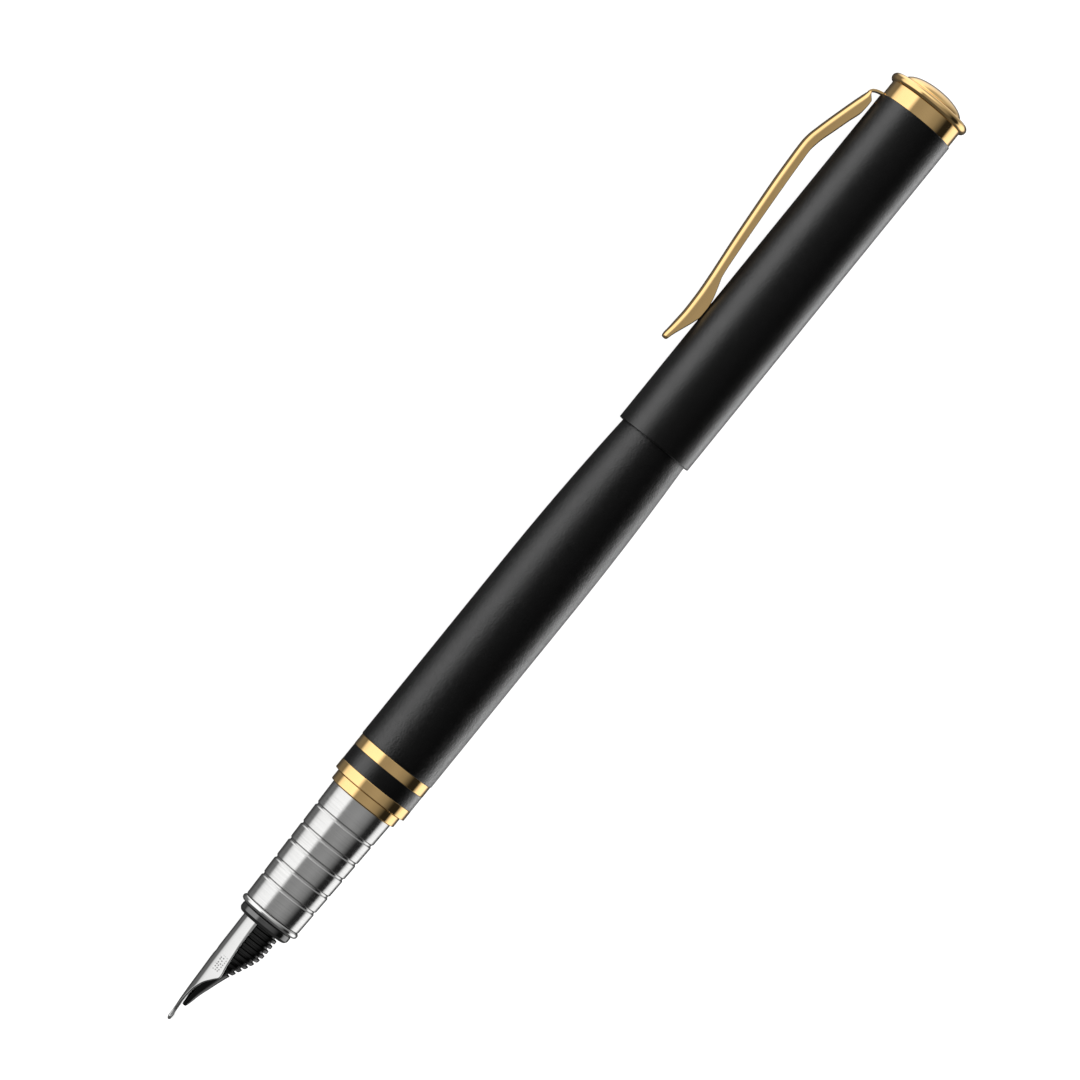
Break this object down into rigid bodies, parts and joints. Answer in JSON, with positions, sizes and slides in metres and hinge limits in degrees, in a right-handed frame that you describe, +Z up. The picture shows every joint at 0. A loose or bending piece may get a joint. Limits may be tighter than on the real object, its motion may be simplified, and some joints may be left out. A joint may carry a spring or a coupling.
{
  "type": "fountain pen",
  "caption": "Fountain pen, cap posted: steel nib, grooved steel grip, black barrel with gold rings, piston converter, and a black cap with a gold spring clip and domed end.",
  "frame": {"origin": "centre of the pen's box, on the table it lies on", "axes": "+X along the pen from the nib to the cap's domed end, +Y towards the side the clip leans to, +Z up; the pen rests on the cap's rim, the barrel and the clip's edge"},
  "size_m": [0.1509, 0.0147, 0.0117],
  "materials": {
    "nib_steel": "polished steel, light wear",
    "feed_plastic": "moulded black, satin",
    "housing_plastic": "dark, polished lip",
    "bright_chrome": "polished",
    "grip_steel": "turned, brushed round",
    "gold_plate": "polished gold plate",
    "gold_clip": "gold plate, satin flanks",
    "raw_brass": "turned brass",
    "barrel_lacquer": "matt black, fine orange peel",
    "band_lacquer": "gloss black",
    "cap_lacquer": "satin black",
    "liner_plastic": "moulded black",
    "clear_plastic": "clear",
    "converter_plastic": "moulded black",
    "piston_rubber": "moulded rubber",
    "converter_metal": "plated sleeve",
    "screw_steel": "turned steel"
  },
  "bodies": {
    "barrel": {"barrel_tube": "barrel_lacquer", "barrel_bush": "raw_brass", "barrel_ring": "gold_plate", "barrel_band": "band_lacquer", "barrel_trim_ring": "gold_plate"},
    "section_carrier": {"section_ring": "gold_plate"},
    "section": {"nib": "nib_steel", "feed": "feed_plastic", "nib_housing": "housing_plastic", "nose_ring": "bright_chrome", "grip_section": "grip_steel", "section_coupler": "raw_brass", "converter_mouth": "converter_plastic", "converter_reservoir": "clear_plastic", "converter_guide": "converter_plastic", "converter_sleeve": "converter_metal"},
    "piston": {"converter_piston": "piston_rubber", "converter_rod": "converter_plastic"},
    "knob": {"converter_knob": "converter_plastic"},
    "cap_carrier": {"inner_cap": "liner_plastic"},
    "cap": {"cap_tube": "cap_lacquer", "clip_ring": "gold_plate", "cap_collar": "gold_plate", "cap_rim": "gold_plate", "finial": "gold_plate", "finial_screw": "screw_steel"},
    "clip_arm": {"clip": "gold_clip"}
  },
  "joints": [
    {"name": "section_advance", "type": "slide", "parent": "barrel", "child": "section_carrier", "axis": [-1, 0, 0], "range_m": [0, 0.006]},
    {"name": "section_unscrew", "type": "hinge", "parent": "section_carrier", "child": "section", "pos_m": [-0.04545, -0.00153, 0.00583], "axis": [-1, 0, 0], "range_deg": [0, 2160.1]},
    {"name": "knob_turn", "type": "hinge", "parent": "section", "child": "knob", "pos_m": [0.01155, -0.00153, 0.00583], "axis": [-1, 0, 0], "range_deg": [0, 2880.1]},
    {"name": "piston_draw", "type": "slide", "parent": "section", "child": "piston", "axis": [1, 0, 0], "range_m": [0, 0.02]},
    {"name": "cap_pull", "type": "slide", "parent": "barrel", "child": "cap_carrier", "axis": [1, 0, 0], "range_m": [0, 0.03]},
    {"name": "cap_turn", "type": "hinge", "parent": "cap_carrier", "child": "cap", "pos_m": [0.04455, -0.00153, 0.00583], "axis": [1, 0, 0], "continuous": true},
    {"name": "clip_flex", "type": "hinge", "parent": "cap", "child": "clip_arm", "pos_m": [0.07085, 0.00347, 0.00303], "axis": [0, -0.4894, -0.8721], "range_deg": [0, 3], "stiffness_Nm_per_rad": 2.4}
  ],
  "couplings": [
    {"joint": "section_unscrew", "follows": "section_advance", "rad_per_m": 6283.2},
    {"joint": "knob_turn", "follows": "piston_draw", "rad_per_m": 2513.3}
  ]
}
